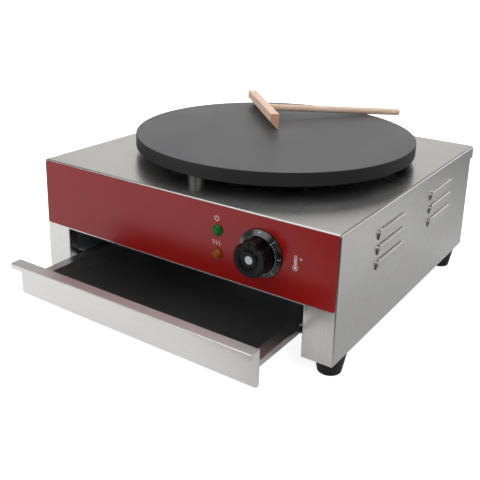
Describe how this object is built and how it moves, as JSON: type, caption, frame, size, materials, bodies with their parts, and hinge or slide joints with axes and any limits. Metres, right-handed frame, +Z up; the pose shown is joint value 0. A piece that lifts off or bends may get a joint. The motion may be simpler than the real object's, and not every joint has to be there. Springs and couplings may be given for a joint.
{
  "type": "electric crepe maker",
  "caption": "Round cast-iron griddle on a square stainless body with a red control panel, turning knob, lamps and a pull-out drawer, with a wooden batter spreader.",
  "frame": {"origin": "on the surface that the feet stand on, under the middle of the machine with its drawer part open and its spreader on the griddle", "axes": "+Z up, the front with its drawer faces -Y, +X to the right as seen from the front"},
  "size_m": [0.4596, 0.5656, 0.2385],
  "materials": {
    "brushed_stainless": "brushed stainless sheet",
    "drawer_stainless": "bright rolled stainless sheet",
    "zinc_sheet": "zinc-plated sheet steel",
    "red_panel": "red enamelled plate",
    "griddle_iron": "turned and seasoned cast iron",
    "satin_steel": "turned steel",
    "zinc_fastener": "bright zinc",
    "element_sheath": "heat-darkened sheath",
    "passivated_dish": "yellow passivated steel",
    "mineral_wool": "pressed mineral wool",
    "ceramic": "steatite ceramic",
    "phenolic": "moulded phenolic",
    "copper": "drawn copper",
    "knob_black": "fine satin moulding",
    "dial_black": "satin moulding with printed numbers",
    "silver_disc": "spun aluminium",
    "green_lens": "faceted clear green",
    "amber_lens": "faceted clear amber",
    "lamp_housing": "moulded nylon",
    "black_nylon": "moulded nylon",
    "lead_insulation": "silicone insulation",
    "brass_fitting": "turned brass",
    "black_rubber": "moulded rubber",
    "beech": "sanded bare beech"
  },
  "bodies": {
    "chassis": {"outer_shell": "brushed_stainless", "control_panel": "red_panel", "rear_panel": "brushed_stainless", "base_frame": "zinc_sheet", "drawer_housing": "zinc_sheet", "left_drawer_rail": "zinc_sheet", "right_drawer_rail": "zinc_sheet", "rail_rivets": "zinc_fastener", "griddle_plate": "griddle_iron", "plate_spacers": "satin_steel", "plate_studs": "zinc_fastener", "plate_nuts": "zinc_fastener", "heating_element": "element_sheath", "element_beads": "ceramic", "element_clamps": "zinc_sheet", "clamp_studs": "zinc_fastener", "clamp_nuts": "zinc_fastener", "reflector_dish": "passivated_dish", "insulation_disc": "mineral_wool", "thermostat_body": "phenolic", "thermostat_screws": "zinc_fastener", "capillary_tube": "copper", "sensor_bulb": "copper", "bulb_clip": "zinc_sheet", "clip_screws": "zinc_fastener", "green_lamp_lens": "green_lens", "amber_lamp_lens": "amber_lens", "green_lamp_body": "lamp_housing", "amber_lamp_body": "lamp_housing", "lamp_nuts": "black_nylon", "thermal_cutout": "ceramic", "terminal_block": "ceramic", "terminal_screws": "brass_fitting", "cable_gland": "black_nylon", "gland_nut": "black_nylon", "earth_stud": "brass_fitting", "wiring_loom": "lead_insulation", "front_left_foot": "black_rubber", "front_right_foot": "black_rubber", "rear_left_foot": "black_rubber", "rear_right_foot": "black_rubber", "foot_screws": "zinc_fastener", "foot_nuts": "zinc_fastener", "housing_screws": "zinc_fastener", "rear_panel_screws": "zinc_fastener", "knob_dial": "dial_black"},
    "drawer": {"drawer_tray": "drawer_stainless", "drawer_front": "drawer_stainless"},
    "knob": {"knob_grip": "knob_black", "knob_insert": "silver_disc", "thermostat_spindle": "satin_steel"},
    "spreader": {"spreader_head": "beech", "spreader_handle": "beech"}
  },
  "joints": [
    {"name": "drawer_slide", "type": "slide", "parent": "chassis", "child": "drawer", "axis": [0, -1, 0], "range_m": [-0.086, 0.164]},
    {"name": "knob_turn", "type": "hinge", "parent": "chassis", "child": "knob", "pos_m": [0.1275, -0.18152, 0.139], "axis": [0, 1, 0], "range_deg": [0, 270]},
    {"name": "spreader_lift", "type": "slide", "parent": "chassis", "child": "spreader", "axis": [0, 0, 1], "range_m": [0, 0.1]}
  ]
}
